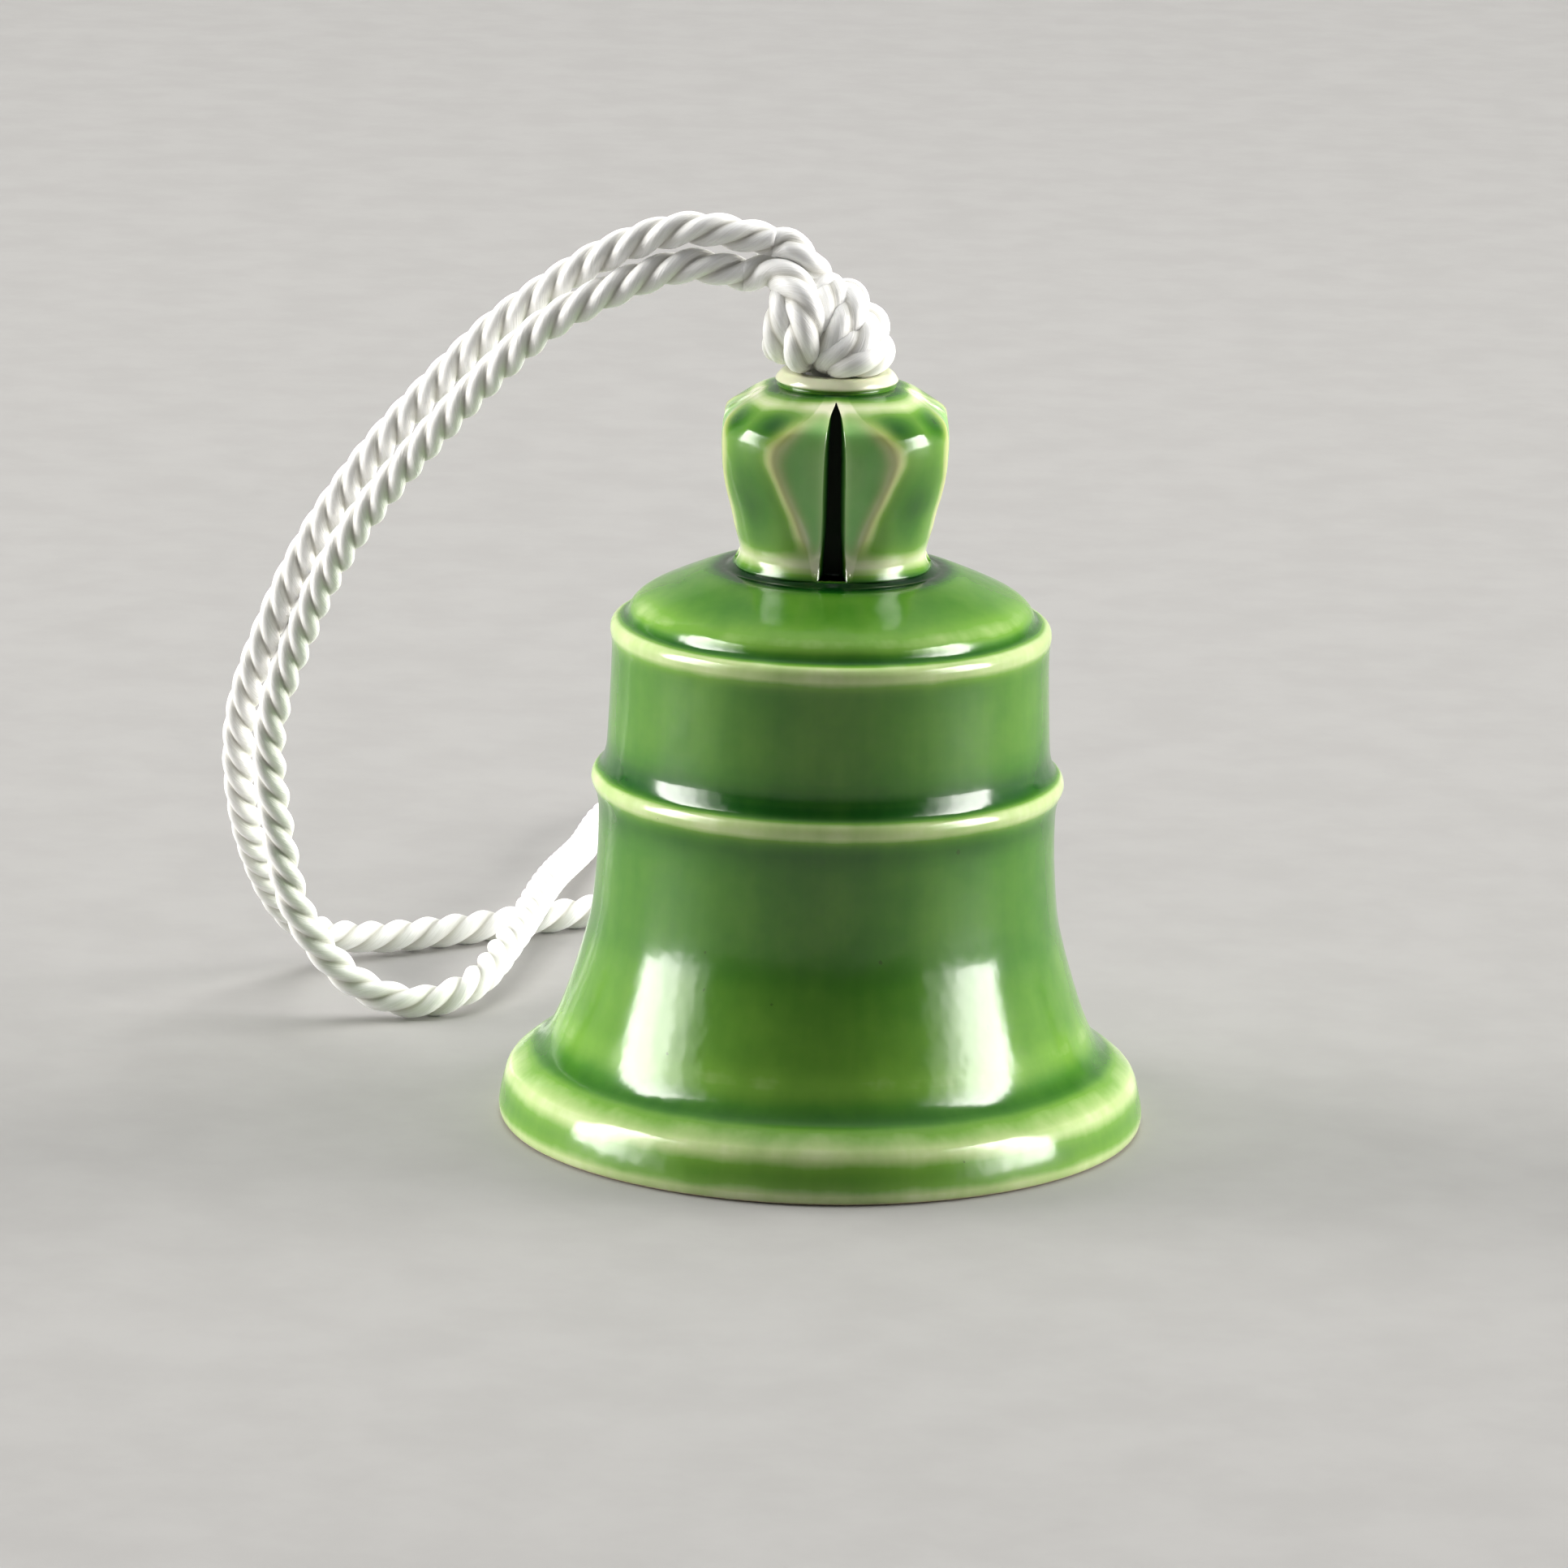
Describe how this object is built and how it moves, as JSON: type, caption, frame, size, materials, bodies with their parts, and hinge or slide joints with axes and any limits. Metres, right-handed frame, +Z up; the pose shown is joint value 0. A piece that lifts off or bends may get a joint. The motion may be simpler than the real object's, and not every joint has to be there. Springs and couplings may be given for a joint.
{
  "type": "christmas bell ornament",
  "caption": "Hollow glazed ceramic bell with a slotted crown, hung on a doubled twisted cord knotted through the crown, with a ball clapper swinging inside.",
  "frame": {"origin": "centre of the bell's foot ring, on the surface that the bell stands on", "axes": "+Z up along the bell's axis, -Y towards the viewer of the slotted face, +X to the viewer's right; the hanging loop arches over to -X and lies on the surface towards +Y"},
  "size_m": [0.0868, 0.1483, 0.084],
  "materials": {
    "green_glaze": "clear glossy green glaze, darker where it pools and cream where it breaks over edges",
    "white_cord": "satin twisted rayon cord"
  },
  "bodies": {
    "bell": {"bell_body": "green_glaze", "crown": "green_glaze"},
    "cord": {"hanging_loop": "white_cord", "top_knot": "white_cord", "left_strand": "white_cord", "right_strand": "white_cord"},
    "stopper": {"stopper_knot": "white_cord", "cord_tail": "white_cord"},
    "clapper": {"clapper_cord": "white_cord", "clapper_ball": "green_glaze", "end_knot": "white_cord"}
  },
  "joints": [
    {"name": "cord_lift", "type": "slide", "parent": "bell", "child": "cord", "axis": [0, 0, 1], "range_m": [0, 0.0025]},
    {"name": "clapper_twist", "type": "hinge", "parent": "cord", "child": "stopper", "pos_m": [0, 0, 0.042], "axis": [0, 0, 1], "range_deg": [-90, 90]},
    {"name": "clapper_swing", "type": "hinge", "parent": "stopper", "child": "clapper", "pos_m": [0, 0, 0.0365], "axis": [0, 1, 0], "range_deg": [-31, 31]}
  ]
}
